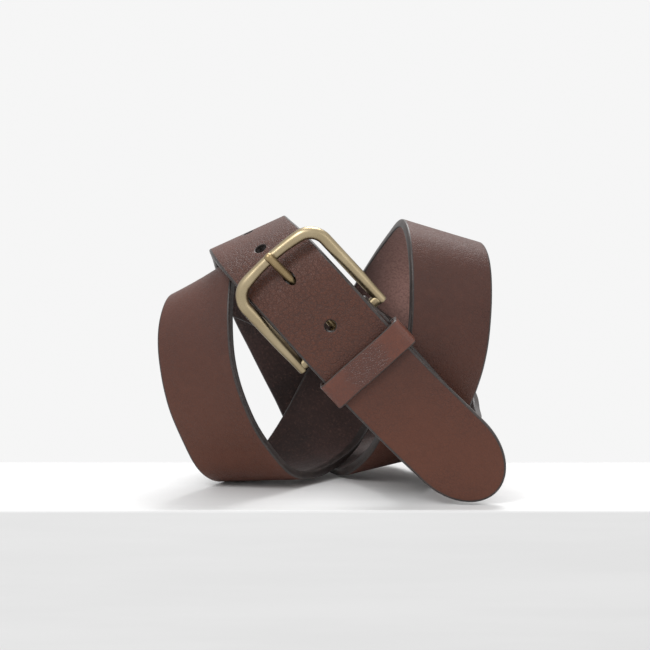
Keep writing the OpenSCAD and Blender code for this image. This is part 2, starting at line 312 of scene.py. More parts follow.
def basis(axis, hint=(0.3, 0.9, 0.2)):
    a = np.array(axis, float)
    a /= np.linalg.norm(a)
    x = np.cross(np.array(hint, float), a)
    x /= np.linalg.norm(x)
    return x, np.cross(a, x), a


def lathe(name, profile, origin, axis, mats, n=48, closed=True, hint=(0.3, 0.9, 0.2)):
    """profile: (radius, height) pairs turned round axis; mm"""
    x, y, a = basis(axis, hint)
    verts, uvs, faces = [], [], []
    o = np.array(origin, float)
    k = len(profile)
    run = 0.0
    for j, (r, h) in enumerate(profile):
        if j:
            run += math.hypot(r - profile[j - 1][0], h - profile[j - 1][1])
        for i in range(n):
            g = 2 * math.pi * i / n
            verts.append((o + a * h + (x * math.cos(g) + y * math.sin(g)) * r) * MM)
            uvs.append((g * max(r, 1) * MM, run * MM))
    for j in range(k - 1):
        for i in range(n):
            b = (i + 1) % n
            faces.append((j * n + i, j * n + b, (j + 1) * n + b, (j + 1) * n + i))
    if closed:
        faces.append(tuple(reversed(range(n))))
        faces.append(tuple(range((k - 1) * n, k * n)))
    ob = make_mesh(name, verts, faces, mats, uvs)
    clean(ob, 2e-6)
    return ob


def tube(name, pts, radii, mats, n=32, closed=False, up=(0, 0, 1), squash=None, caps=True):
    """round bar along pts (mm); radii per point; squash(i) gives (rx, ry) factors"""
    pts = np.array(pts, float)
    m = len(pts)
    if closed:
        d = np.roll(pts, -1, 0) - np.roll(pts, 1, 0)
    else:
        d = np.gradient(pts, axis=0)
    d /= np.linalg.norm(d, axis=1)[:, None]
    up = np.array(up, float)
    verts, uvs, faces = [], [], []
    run = 0.0
    for i in range(m):
        if i:
            run += np.linalg.norm(pts[i] - pts[i - 1])
        side = np.cross(d[i], up)
        side /= np.linalg.norm(side)
        top = np.cross(side, d[i])
        fx, fy = squash(i) if squash else (1, 1)
        for k in range(n):
            g = 2 * math.pi * k / n
            verts.append((pts[i] + (side * math.cos(g) * fx + top * math.sin(g) * fy) * radii[i]) * MM)
            uvs.append((run * MM, k / n))
    rows = m if closed else m - 1
    for i in range(rows):
        for k in range(n):
            b = (k + 1) % n
            i2 = (i + 1) % m
            faces.append((i * n + k, i * n + b, i2 * n + b, i2 * n + k))
    if not closed and caps:
        faces.append(tuple(reversed(range(n))))
        faces.append(tuple(range((m - 1) * n, m * n)))
    ob = make_mesh(name, verts, faces, mats, uvs)
    clean(ob, 1e-7)
    return ob


# ------------------------------------------------------------------ node helpers
def lin(r, g, b):
    def f(c):
        c /= 255.0
        return c / 12.92 if c <= 0.04045 else ((c + 0.055) / 1.055) ** 2.4
    return (f(r), f(g), f(b), 1.0)


class Nodes:
    def __init__(self, name):
        self.mat = bpy.data.materials.new(name)
        self.mat.use_nodes = True
        self.t = self.mat.node_tree
        self.t.nodes.clear()
        self.out = self.t.nodes.new("ShaderNodeOutputMaterial")
        self.b = self.t.nodes.new("ShaderNodeBsdfPrincipled")
        self.t.links.new(self.b.outputs[0], self.out.inputs[0])
        self.tc = self.t.nodes.new("ShaderNodeTexCoord")

    def link(self, a, b):
        self.t.links.new(a, b)

    def mapping(self, src, scale=(1, 1, 1), rot=(0, 0, 0), loc=(0, 0, 0)):
        n = self.t.nodes.new("ShaderNodeMapping")
        n.inputs["Scale"].default_value = scale
        n.inputs["Rotation"].default_value = rot
        n.inputs["Location"].default_value = loc
        self.link(src, n.inputs["Vector"])
        return n.outputs[0]

    def noise(self, src, scale, detail=4, rough=0.55, dist=0.0, color=False):
        n = self.t.nodes.new("ShaderNodeTexNoise")
        n.inputs["Scale"].default_value = scale
        n.inputs["Detail"].default_value = detail
        n.inputs["Roughness"].default_value = rough
        n.inputs["Distortion"].default_value = dist
        self.link(src, n.inputs["Vector"])
        return n.outputs["Color" if color else 0]

    def voronoi(self, src, scale, feature="DISTANCE_TO_EDGE", rand=1.0, out="Distance"):
        n = self.t.nodes.new("ShaderNodeTexVoronoi")
        n.feature = feature
        n.inputs["Scale"].default_value = scale
        n.inputs["Randomness"].default_value = rand
        self.link(src, n.inputs["Vector"])
        return n.outputs[out]

    def math(self, op, a, b=None, c=None, clamp=False):
        n = self.t.nodes.new("ShaderNodeMath")
        n.operation = op
        n.use_clamp = clamp
        for i, v in enumerate((a, b, c)):
            if v is None:
                continue
            if isinstance(v, (int, float)):
                n.inputs[i].default_value = v
            else:
                self.link(v, n.inputs[i])
        return n.outputs[0]

    def span(self, v, a, b, c=0.0, d=1.0, smooth=True):
        n = self.t.nodes.new("ShaderNodeMapRange")
        n.interpolation_type = "SMOOTHSTEP" if smooth else "LINEAR"
        n.clamp = True
        for k, x in zip(("From Min", "From Max", "To Min", "To Max"), (a, b, c, d)):
            n.inputs[k].default_value = x
        self.link(v, n.inputs["Value"])
        return n.outputs[0]

    def mix(self, fac, a, b, mode="MIX"):
        n = self.t.nodes.new("ShaderNodeMix")
        n.data_type = "RGBA"
        n.blend_type = mode
        n.clamp_factor = True
        for k, v in ((0, fac), (6, a), (7, b)):
            if isinstance(v, (int, float)):
                n.inputs[k].default_value = v
            elif isinstance(v, tuple):
                n.inputs[k].default_value = v
            else:
                self.link(v, n.inputs[k])
        return n.outputs[2]

    def vec_add(self, a, b, k):
        m = self.t.nodes.new("ShaderNodeVectorMath")
        m.operation = "SCALE"
        self.link(b, m.inputs[0])
        m.inputs["Scale"].default_value = k
        n = self.t.nodes.new("ShaderNodeVectorMath")
        n.operation = "ADD"
        self.link(a, n.inputs[0])
        self.link(m.outputs[0], n.inputs[1])
        return n.outputs[0]

    def split(self, v):
        n = self.t.nodes.new("ShaderNodeSeparateXYZ")
        self.link(v, n.inputs[0])
        return n.outputs

    def bump(self, height, strength, distance, normal=None):
        n = self.t.nodes.new("ShaderNodeBump")
        n.inputs["Strength"].default_value = strength
        n.inputs["Distance"].default_value = distance
        self.link(height, n.inputs["Height"])
        if normal is not None:
            self.link(normal, n.inputs["Normal"])
        return n.outputs[0]

    def set(self, **kw):
        names = {"color": "Base Color", "rough": "Roughness", "metal": "Metallic", "normal": "Normal",
                 "coat": "Coat Weight", "coat_rough": "Coat Roughness", "sheen": "Sheen Weight",
                 "sheen_rough": "Sheen Roughness", "spec": "Specular IOR Level", "ior": "IOR"}
        for k, v in kw.items():
            s = self.b.inputs[names[k]]
            if isinstance(v, (int, float, tuple)):
                s.default_value = v
            else:
                self.link(v, s)
        return self.mat


def leather(name, base, dark, light, grain=1.0, gloss=0.5, wide=None, rim=None, coat=0.08, centre=None, seed=0.0,
            wear_and_painted_light=None, warm=None, dark_zone=None):
    """grained leather. UV is (along, across) in metres; object coordinates drive the grain."""
    n = Nodes(name)
    uv = n.tc.outputs["UV"]
    ob = n.mapping(n.tc.outputs["Object"], loc=(seed, seed * 0.7, -seed))
    x, y, _ = n.split(uv)
    # colour: slow clouds, middle mottle, fine flecks
    cloud = n.noise(ob, 14, 2, 0.5)
    mott = n.noise(ob, 260, 4, 0.6)
    flecks = n.noise(ob, 2100, 3, 0.6)
    col = n.mix(n.span(cloud, 0.25, 0.80, 0.25, 0.9), dark, base)
    if warm is not None:
        # the colour is warmer low on the outer turns, and cooler higher up where the strap bends over
        z = n.split(n.tc.outputs["Object"])[2]
        col = n.mix(n.math("MULTIPLY", n.span(z, 0.015, 0.085, 1.0, 0.0), 0.55), col, warm)
    col = n.mix(n.math("MULTIPLY", n.span(mott, 0.45, 0.75), 0.16), col, light)
    col = n.mix(n.math("MULTIPLY", n.span(flecks, 0.50, 0.72), 0.22), col, light)
    # grain cells, warped so that they look like creased skin
    warp = n.noise(ob, 420, 3, 0.6, color=True)
    cells = n.voronoi(n.vec_add(ob, warp, 0.0010), 980)
    big = n.voronoi(n.vec_add(ob, warp, 0.0026), 430)
    pores = n.voronoi(n.vec_add(ob, warp, 0.0006), 2000, "F1")
    crease = n.span(cells, 0.0, 0.20)
    crease_b = n.span(big, 0.0, 0.10)
    pore = n.span(pores, 0.0, 0.34)
    patch = n.span(n.noise(ob, 48, 2, 0.5), 0.40, 0.66)
    amt = n.math("MULTIPLY_ADD", patch, 0.40 * grain, 0.42 * grain)
    zone = None
    if wear_and_painted_light is not None:
        lo, hi, soft = wear_and_painted_light
        zone = n.math("MULTIPLY", n.span(x, (lo - soft) * MM, (lo + soft) * MM),
                      n.span(x, (hi - soft) * MM, (hi + soft) * MM, 1.0, 0.0))
        amt = n.math("ADD", amt, n.math("MULTIPLY", zone, 0.95 * grain))
    if dark_zone is not None:
        lo, hi, soft = dark_zone
        dz = n.math("MULTIPLY", n.span(x, (lo - soft) * MM, (lo + soft) * MM),
                    n.span(x, (hi - soft) * MM, (hi + soft) * MM, 1.0, 0.0))
        col = n.mix(n.math("MULTIPLY", dz, 0.45), col, warm if warm is not None else base)
    lines = n.math("MULTIPLY", n.math("SUBTRACT", 1.0, crease), n.math("MULTIPLY", amt, 0.36), clamp=True)
    col = n.mix(lines, col, dark)
    lines_b = n.math("MULTIPLY", n.math("SUBTRACT", 1.0, crease_b), n.math("MULTIPLY", amt, 0.20), clamp=True)
    col = n.mix(lines_b, col, tuple(c * 0.55 for c in dark[:3]) + (1.0,))
    if rim is not None and wide is not None:
        av = n.math("ABSOLUTE", y)
        edge_noise = n.math("MULTIPLY", n.noise(ob, 240, 3, 0.6), 0.0010)
        r = n.span(n.math("ADD", av, edge_noise), (wide - 1.0) * MM, (wide + 0.5) * MM)
        col = n.mix(n.math("MULTIPLY", r, 0.8), col, rim)
    rough_n = n.noise(ob, 520, 4, 0.6)
    rough = n.span(rough_n, 0.3, 0.7, 0.60 - 0.22 * gloss, 0.76 - 0.22 * gloss, smooth=False)
    if zone is not None:
        rough = n.math("SUBTRACT", rough, n.math("MULTIPLY", zone, 0.08))
    if centre is not None:
        c0, c1 = centre
        av = n.math("ABSOLUTE", y)
        mid = n.span(n.math("ADD", av, n.math("MULTIPLY", mott, 0.006)), c0 * MM, c1 * MM, 1.0, 0.0)
        rough = n.math("SUBTRACT", rough, n.math("MULTIPLY", mid, 0.22))
        col = n.mix(n.math("MULTIPLY", mid, 0.45), col, dark)
        amt = n.math("MULTIPLY_ADD", mid, 1.9 * grain, amt)
    h = n.math("MULTIPLY", n.math("MULTIPLY", crease, 0.55), amt)
    h = n.math("ADD", h, n.math("MULTIPLY", n.math("MULTIPLY", crease_b, 0.9), amt))
    h = n.math("ADD", h, n.math("MULTIPLY", pore, 0.14))
    h = n.math("ADD", h, n.math("MULTIPLY", rough_n, 0.35))
    nb = n.bump(h, 0.50, 0.00024)
    wave = n.noise(ob, 60, 3, 0.5)
    nb = n.bump(wave, 0.22, 0.0009, nb)
    return n.set(color=col, rough=rough, normal=nb, coat=coat, coat_rough=0.36, spec=0.34)


def flesh_leather(name, base, dark, light):
    n = Nodes(name)
    ob = n.tc.outputs["Object"]
    cloud = n.noise(ob, 45, 4, 0.6)
    fib = n.noise(ob, 950, 5, 0.7, 0.6)
    warp = n.noise(ob, 500, 3, 0.6, color=True)
    peb = n.voronoi(n.vec_add(ob, warp, 0.0012), 620, "F1")
    col = n.mix(n.span(cloud, 0.3, 0.7), dark, base)
    col = n.mix(n.math("MULTIPLY", n.span(fib, 0.48, 0.72), 0.65), col, light)
    col = n.mix(n.math("MULTIPLY", n.span(peb, 0.25, 0.6), 0.35), col, dark)
    # painted light: a paler patch in object space (x 12 to 36 mm, z 50 to 85 mm) on the inner face of the
    # right-hand loop stands in for the light falling there
    px, _, pz = n.split(n.tc.outputs["Object"])
    wear_and_painted_light = n.math("MULTIPLY", n.span(px, 0.012, 0.036), n.span(pz, 0.050, 0.085))
    pale_ = tuple(min(1.0, c * 2.8) for c in light[:3]) + (1.0,)
    col = n.mix(n.math("MULTIPLY", wear_and_painted_light, 0.92), col, n.mix(n.math("MULTIPLY", n.span(fib, 0.40, 0.66), 0.6), pale_, light))
    h = n.math("ADD", n.math("MULTIPLY", fib, 0.7), n.math("MULTIPLY", peb, -0.7))
    nb = n.bump(h, 0.55, 0.00035)
    rough = n.span(fib, 0.3, 0.7, 0.58, 0.82, smooth=False)
    return n.set(color=col, rough=rough, normal=nb, sheen=0.12, sheen_rough=0.5, spec=0.4)


def edge_paint(name, base, dark, light):
    n = Nodes(name)
    ob = n.tc.outputs["Object"]
    a = n.noise(ob, 190, 5, 0.65)
    b = n.noise(n.mapping(ob, scale=(1, 1, 1)), 1400, 3, 0.6)
    col = n.mix(n.span(a, 0.35, 0.7), dark, base)
    col = n.mix(n.math("MULTIPLY", n.span(b, 0.52, 0.75), 0.5), col, light)
    h = n.math("ADD", n.math("MULTIPLY", a, 0.6), n.math("MULTIPLY", b, 0.4))
    nb = n.bump(h, 0.35, 0.00025)
    rough = n.span(a, 0.3, 0.7, 0.42, 0.58, smooth=False)
    return n.set(color=col, rough=rough, normal=nb, coat=0.12, coat_rough=0.35)


def brass(name, bright, deep, tarnish_and_shade, brush=(30.0, 2.2), rough0=0.27):
    """antique brass, brushed along the bar. UV is (run in metres, turn round the bar 0..1)."""
    n = Nodes(name)
    uv = n.tc.outputs["UV"]
    ob = n.tc.outputs["Object"]
    lines = n.noise(n.mapping(uv, scale=(brush[0] * 8, 60, 1)), 1.0, 4, 0.65)
    lines2 = n.noise(n.mapping(uv, scale=(brush[0] * 30, 210, 1)), 1.0, 3, 0.6)
    cloud = n.noise(ob, 55, 2, 0.5)
    speck = n.noise(ob, 1700, 4, 0.7)
    pit = n.voronoi(ob, 1700, "F1")
    col = n.mix(n.span(cloud, 0.25, 0.75, 0.35, 1.0), deep, bright)
    col = n.mix(n.math("MULTIPLY", n.span(speck, 0.50, 0.72), 0.40), col, deep)
    col = n.mix(n.math("MULTIPLY", n.span(pit, 0.0, 0.16, 1.0, 0.0), 0.30), col, tarnish_and_shade)
    col = n.mix(n.math("MULTIPLY", n.span(lines, 0.54, 0.76), 0.18), col, tarnish_and_shade)
    # faces turned out to the front and up are painted bright, the sides and back dark: partly rub wear against
    # tarnish, partly painted light and shade from the lamps in front and above
    nx, ny, nz = n.split(n.tc.outputs["Normal"])
    rub_and_painted_light = n.span(n.math("MULTIPLY_ADD", nz, 0.30, n.math("MULTIPLY", ny, -1.0)), 0.20, 0.95)
    col = n.mix(n.math("MULTIPLY", n.math("SUBTRACT", 1.0, rub_and_painted_light), 0.62), col, tarnish_and_shade)
    rough = n.math("ADD", n.span(speck, 0.3, 0.7, rough0, rough0 + 0.10, smooth=False),
                   n.math("MULTIPLY", lines, 0.08))
    h = n.math("ADD", n.math("MULTIPLY", lines, 0.4), n.math("MULTIPLY", lines2, 0.25))
    h = n.math("ADD", h, n.math("MULTIPLY", speck, 0.40))
    nb = n.bump(h, 0.16, 0.00010)
    return n.set(color=col, rough=rough, metal=1.0, normal=nb)


WORN = (TOTAL - FIRST - 2.3 * PITCH, TOTAL - FIRST + 22.0, 9.0)
DARKZ = (TOTAL - FIRST - 1.9 * PITCH, TOTAL - FIRST + 15.0, 10.0)
M_GRAIN = leather("belt_grain", lin(78, 42, 31), lin(52, 27, 20), lin(98, 58, 44), grain=1.0, gloss=0.5,
                  wide=19.0, rim=lin(44, 30, 26), wear_and_painted_light=WORN, warm=lin(94, 50, 30), dark_zone=DARKZ)
M_FLESH = flesh_leather("belt_flesh", lin(66, 44, 40), lin(38, 25, 23), lin(106, 80, 74))
M_EDGE = edge_paint("belt_edge", lin(50, 40, 37), lin(29, 22, 20), lin(92, 80, 75))
M_CUT = edge_paint("belt_hole_wall", lin(34, 22, 18), lin(18, 12, 10), lin(60, 42, 34))
M_KEEP = leather("keeper_grain", lin(96, 46, 28), lin(62, 30, 20), lin(120, 66, 44), grain=0.85, gloss=1.1,
                 wide=60, rim=None, coat=0.45, centre=(9.5, 16.5), seed=0.37)
M_KEEP_EDGE = edge_paint("keeper_edge", lin(58, 36, 28), lin(34, 21, 17), lin(96, 68, 54))
M_BRASS = brass("antique_brass", lin(178, 163, 133), lin(148, 132, 103), lin(90, 76, 52))
M_PRONG = brass("prong_brass", lin(172, 152, 116), lin(136, 116, 82), lin(84, 68, 44), rough0=0.32)
M_RIVET = brass("rivet_brass", lin(190, 172, 128), lin(140, 120, 78), lin(84, 68, 42), rough0=0.3)
M_WIRE = brass("staple_wire", lin(170, 166, 158), lin(120, 116, 108), lin(74, 70, 64), rough0=0.25)

# ------------------------------------------------------------------ the strap
# section of the strap: inset from the edge e, depth below the grain face t (both share the edge rounding)
R_G, R_F = 0.95, 0.7


def section(tk):
    """(fraction or inset, depth, material) round the section, from the grain middle to each edge and back"""
    grain_f = [-1, -0.86, -0.72, -0.58, -0.44, -0.3, -0.15, 0, 0.15, 0.3, 0.44, 0.58, 0.72, 0.86, 1]
    pts = []
    inner = R_G
    # grain face, right (-) to left (+)
    for f in grain_f:
        crown = 0.0
        pts.append((f, inner, crown, 0))
    # left edge, grain to flesh
    for g in (22, 45, 68, 90):
        a = math.radians(g)
        pts.append((1, R_G * (1 - math.sin(a)), R_G * (1 - math.cos(a)), 1))
    mid = (R_G + (tk - R_F)) / 2
    pts.append((1, -0.10, mid, 1))
    for g in (90, 60, 30, 0):
        a = math.radians(g)
        pts.append((1, R_F * (1 - math.sin(a)), tk - R_F * (1 - math.cos(a)), 1))
    # flesh face, left to right
    for f in (0.86, 0.72, 0.58, 0.44, 0.3, 0.15, 0, -0.15, -0.3, -0.44, -0.58, -0.72, -0.86, -1):
        pts.append((f, R_F, tk, 2))
    for g in (30, 60, 90):
        a = math.radians(g)
        pts.append((-1, R_F * (1 - math.sin(a)), tk - R_F * (1 - math.cos(a)), 1))
    pts.append((-1, -0.10, mid, 1))
    for g in (90, 68, 45, 22):
        a = math.radians(g)
        pts.append((-1, R_G * (1 - math.sin(a)), R_G * (1 - math.cos(a)), 1))
    return pts


rng = np.random.default_rng(7)


def wobble(s, k, amp):
    """slow, smooth, repeatable unevenness of a hand cut edge, mm"""
    return amp * (math.sin(s * 0.061 + k) * 0.5 + math.sin(s * 0.143 + 2.1 * k) * 0.3 + math.sin(s * 0.37 + 1.3 * k) * 0.2)


SEC_N = len(section(THICK))
verts, uvs = [], []
rows = 0


def ring_at(p, rule, nrm, tk, hw, s, shrink=1.0):
    global rows
    for (f, e, t, m) in section(tk):
        v = f * (hw - e * shrink)
        if abs(f) == 1:
            v += math.copysign(wobble(s, 1.0 if f > 0 else 2.7, 0.07), f)
        verts.append((p + rule * v - nrm * t) * MM)
        uvs.append((s * MM, v * MM))
    rows += 1


for i in range(NP):
    ring_at(P[i], RULE[i], NRM[i], thick[i], WIDTH / 2, S_ALL[i])
TIP_N = 44
p_end, d_end, r_end, n_end = P[-1], dirs[-1], RULE[-1], NRM[-1]
for k in range(1, TIP_N + 1):
    ph = math.pi / 2 * (1 - (1 - k / TIP_N) ** 1.15)
    for (f, e, t, m) in section(THICK):
        x = (TIP - e) * math.sin(ph)
        v = f * (WIDTH / 2 - e) * math.cos(ph)
        if abs(f) == 1:
            v += math.copysign(wobble(S_ALL[-1], 1.0 if f > 0 else 2.7, 0.07) * math.cos(ph), f)
        p = p_end + d_end * x
        verts.append((p + r_end * v - n_end * t) * MM)
        # the across coordinate keeps its distance from the edge, so the rim follows the point
        rim_v = math.copysign(WIDTH / 2 * max(abs(f) * 1.0, 0) , f) if f else 0.0
        inside = max(0.0, (1 - max(math.sin(ph) ** 2 + (f * math.cos(ph)) ** 2, 0) ** 0.5)) * 19.0
        uvs.append(((S_ALL[-1] + x) * MM, math.copysign(max(abs(v), WIDTH / 2 - inside - e), f if f else 1) * MM))
    rows += 1
faces, midx = [], []
kinds = [q[3] for q in section(THICK)]
for i in range(rows - 1):
    for k in range(SEC_N):
        b = (k + 1) % SEC_N
        faces.append((i * SEC_N + k, i * SEC_N + b, (i + 1) * SEC_N + b, (i + 1) * SEC_N + k))
        ka, kb = kinds[k], kinds[b]
        midx.append(0 if ka == 0 and kb == 0 else 2 if (ka == 2 and kb == 2) else 1)
faces.append(tuple(reversed(range(SEC_N))))
midx.append(1)
faces.append(tuple(range((rows - 1) * SEC_N, rows * SEC_N)))
midx.append(1)
M_GRAIN_NODES = M_GRAIN
strap = make_mesh("belt_strap", verts, faces, [M_GRAIN, M_EDGE, M_FLESH, M_CUT], uvs, True, midx)
clean(strap, 4e-6)


def heel_frame(y, z, x=0.0, tilt=0.0):
    """point in the buckle's own frame: x across, y to the front bar, z off the strap; mm"""
    a = math.radians(tilt)
    yy = y * math.cos(a) - z * math.sin(a)
    zz = y * math.sin(a) + z * math.cos(a)
    return np.array([HEEL[0], FOLD_C, HEEL[2] + UP]) + ACROSS * x - ALONG * yy + np.array([0, -1, 0]) * zz


BEND_Y, RISE1, TIP_Y, RISE2 = 30.0, 1.9, 46.2, 10.35
SLOPE = math.atan((RISE2 - RISE1) / (TIP_Y - BEND_Y))


def prong_z(y):
    """the prong's middle line; the bend is eased over a few millimetres"""
    k1, k2 = RISE1 / BEND_Y, (RISE2 - RISE1) / (TIP_Y - BEND_Y)
    r = 3.0
    if y < BEND_Y - r:
        return k1 * y
    if y > BEND_Y + r:
        return RISE1 + k2 * (y - BEND_Y)
    u = (y - BEND_Y + r) / (2 * r)
    a, b, c = k1 * (BEND_Y - r), RISE1, RISE1 + k2 * r
    return (1 - u) ** 2 * a + 2 * u * (1 - u) * b + u * u * c


cutters = []
for k in (0, 2, 3, 4):
    p, t, n_ = point_at(FIRST + k * PITCH)
    prof = [(HOLE / 2 + 0.75, 0.9), (HOLE / 2 + 0.42, 0.02), (HOLE / 2 + 0.16, -0.22), (HOLE / 2 + 0.02, -0.55),
            (HOLE / 2, -1.2), (HOLE / 2, -THICK + 0.3), (HOLE / 2 + 0.12, -THICK - 0.9)]
    cutters.append(lathe("cut_hole", prof, p, n_, [M_CUT], 56, hint=tuple(t)))
# hole worn oval by the prong
line = [heel_frame(y, prong_z(y) + 0.42) for y in np.linspace(21.0, 40.0, 34)]
cutters.append(tube("cut_prong", line, [2.5] * 34, [M_CUT], 40, up=(0, -1, 0), squash=lambda i: (1.0, 1.28)))
# slot for the prong in the turn: a long hole with round ends
slot = []
lo, hi, hw_ = -5.2 + 3.6, 9.5 - 3.6, 3.6
for g in range(0, 181, 10):
    slot.append((hw_ * math.cos(math.radians(g)), hi + hw_ * math.sin(math.radians(g))))
for g in range(180, 361, 10):
    slot.append((hw_ * math.cos(math.radians(g)), lo + hw_ * math.sin(math.radians(g))))
sv = [heel_frame(yy, -7.0, xx) * MM for xx, yy in slot] + [heel_frame(yy, 5.6, xx) * MM for xx, yy in slot]
m_ = len(slot)
sf = [tuple(range(m_)), tuple(reversed(range(m_, 2 * m_)))] + [
    (i, m_ + i, m_ + (i + 1) % m_, (i + 1) % m_) for i in range(m_)]
c_slot = make_mesh("cut_slot", sv, sf, [M_CUT], [(0, 0)] * (2 * m_))
clean(c_slot, 1e-7)
cutters.append(c_slot)
# rivet holes
RIVET_AT, RIVET_GAP, CAP = 35.0, 18.0, 8.0
STACK = BACK - FACE_Y


def rivet_pos(s):
    q = HEEL + ALONG * RIVET_AT + ACROSS * (s * RIVET_GAP / 2)
    return np.array([q[0], FACE_Y, q[2] + UP])


for s in (-1, 1):
    cutters.append(lathe("cut_rivet", [(1.48, -0.95), (1.48, STACK + 0.9)], rivet_pos(s), (0, 1, 0), [M_CUT], 32))
cut(strap, cutters)
sharp_by_angle(strap, 50)
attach(strap, "belt")
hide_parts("strap")

# ------------------------------------------------------------------ rivets
for s in (-1, 1):
    nm = "lower" if s < 0 else "upper"
    prof = [(0.05, -0.74), (1.6, -0.72), (3.0, -0.62), (3.7, -0.45), (3.98, -0.22), (3.95, -0.02), (3.4, 0.0),
            (1.5, 0.0), (1.5, STACK)]
    r = lathe("rivet_post_" + nm, prof, rivet_pos(s), (0, 1, 0), [M_RIVET], 56)
    sharp_by_angle(r, 60)
    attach(r, "belt")
    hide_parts("rivet_posts")
    prof = [(3.4, STACK + 0.02), (3.92, STACK + 0.06), (4.0, STACK + 0.35), (3.86, STACK + 0.8), (3.3, STACK + 1.2),
            (2.2, STACK + 1.48), (1.0, STACK + 1.58), (0.05, STACK + 1.6)]
    r = lathe("rivet_cap_" + nm, prof, rivet_pos(s), (0, 1, 0), [M_RIVET], 56)
    sharp_by_angle(r, 60)
    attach(r, "belt")
    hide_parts("rivet_caps")

# ------------------------------------------------------------------ buckle frame
FW, FL, CR, BOW = 46.0, 45.5, 9.0, 100.0
bow_a = math.asin((FW / 2 - CR) / (BOW - CR))
bow_c = FL - BOW
cy = bow_c + (BOW - CR) * math.cos(bow_a)
END_Y = -BAR / 2
loop = []


def arc(c, r, a1, a2, n):
    for i in range(n):
        a = math.radians(a1 + (a2 - a1) * i / n)
        loop.append((c[0] + r * math.cos(a), c[1] + r * math.sin(a)))


ba = math.degrees(bow_a)
for y in list(END_Y + np.array([0.0, 0.06, 0.16, 0.32, 0.55, 0.85])) + list(np.linspace(-1.2, cy - 0.4, 46)):
    loop.append((FW / 2, y))
arc((FW / 2 - CR, cy), CR, 0, 90 - ba, 30)
arc((0, bow_c), BOW, 90 - ba, 90 + ba, 80)
arc((-(FW / 2 - CR), cy), CR, 90 + ba, 180, 30)
for y in list(np.linspace(cy, -1.2, 46)) + list(END_Y + np.array([0.85, 0.55, 0.32, 0.16, 0.06, 0.0])):
    loop.append((-FW / 2, y))


def bar_r(x, y):
    """fullest at the front corners, slimmer towards the heel, rounded over at the cut ends"""
    r = BAR / 2 * (0.97 + 0.14 * ease((y - 2) / 14) * ease((abs(x) - 6) / 10))
    e = (y - END_Y) / 0.85
    if e < 1:
        r -= 0.7 * (1 - math.sqrt(max(0.0, 1 - (1 - e) ** 2)))
    return r


pts3 = [heel_frame(y, 0, x, TILT) for x, y in loop]
frame_ob = tube("buckle_frame_bar", pts3, [bar_r(x, y) for x, y in loop], [M_BRASS], 48, up=(0, -1, 0))
hb = [heel_frame(0, 0, x, TILT) for x in np.linspace(-FW / 2 + 0.7, FW / 2 - 0.7, 60)]
heel_bar = tube("buckle_heel_bar", hb, [BAR / 2] * 60, [M_BRASS], 48, up=(0, -1, 0))
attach(heel_bar, "frame")
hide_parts("buckle_frame")
notch_h = BAR / 2 + PRONG / 2 - 0.35
nline = [heel_frame(FL + d * math.cos(SLOPE - math.radians(TILT)), notch_h + d * math.sin(SLOPE - math.radians(TILT)), 0, TILT)
         for d in np.linspace(-8, 8, 9)]
notch = tube("cut_notch", nline, [PRONG / 2 + 0.2] * 9, [M_BRASS], 48, up=(0, -1, 0))
cut(frame_ob, [notch])
sharp_by_angle(frame_ob, 38)
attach(frame_ob, "frame")
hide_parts("buckle_frame")

# ------------------------------------------------------------------ prong: eye round the heel bar, shank, blunt tip
ys = np.concatenate([np.linspace(3.2, TIP_Y, 60)])
line, rad = [], []
for y in ys:
    line.append(heel_frame(y, prong_z(y)))
    rad.append(PRONG / 2 * (1.0 + 0.03 * ease((y - 34) / 8)))
end_r = rad[-1]
k2 = math.tan(SLOPE)
for g in (15, 30, 45, 58, 70, 80, 87):
    a = math.radians(g)
    d = math.sin(a) * end_r
    line.append(heel_frame(TIP_Y + d * math.cos(SLOPE), prong_z(TIP_Y) + d * math.sin(SLOPE)))
    rad.append(max(end_r * math.cos(a), 0.05))
shank = tube("prong_shank", line, rad, [M_PRONG], 40, up=(0, -1, 0))
eye_prof = []
ri, ro, hx = BAR / 2 + 0.08, BAR / 2 + 1.75, 2.95
for g in range(0, 91, 15):
    a = math.radians(g)
    eye_prof.append((ro - 0.5 * (1 - math.sin(a)), -hx + 0.5 * (1 - math.cos(a))))
for g in range(90, -1, -15):
    a = math.radians(g)
    eye_prof.append((ro - 0.5 * (1 - math.sin(a)), hx - 0.5 * (1 - math.cos(a))))
eye_prof += [(ri + 0.2, hx), (ri, hx - 0.2), (ri, -hx + 0.2), (ri + 0.2, -hx)]
eye = lathe("prong_eye", eye_prof + [eye_prof[0]], heel_frame(0, 0), tuple(ACROSS), [M_PRONG], 72, closed=False)
for part in (eye, shank):
    sharp_by_angle(part, 50)
    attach(part, "prong_body")
    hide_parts("prong")

# ------------------------------------------------------------------ keeper loop
KW, KT, KAT = 13.0, 1.8, 17.5
K_IN = WIDTH + 3.2
K_F = FACE_Y - 1.1 - THICK - 0.9
K_B = FACE_Y + THICK + 0.3
kc = np.array([HEEL[0] + ALONG[0] * KAT, 0, HEEL[2] + UP + ALONG[2] * KAT])
u0, u1 = -K_IN / 2 - KT / 2 + 0.5, K_IN / 2 + KT / 2 + 0.5
y0, y1 = K_F - KT / 2, K_B + KT / 2
kr = 2.5
kloop = []


def karc(cu, cy_, a1, a2, n=12):
    for i in range(n):
        a = math.radians(a1 + (a2 - a1) * i / n)
        kloop.append((cu + kr * math.cos(a), cy_ + kr * math.sin(a)))


def kline(a, b, n):
    for i in range(n):
        kloop.append((a[0] + (b[0] - a[0]) * i / n, a[1] + (b[1] - a[1]) * i / n))


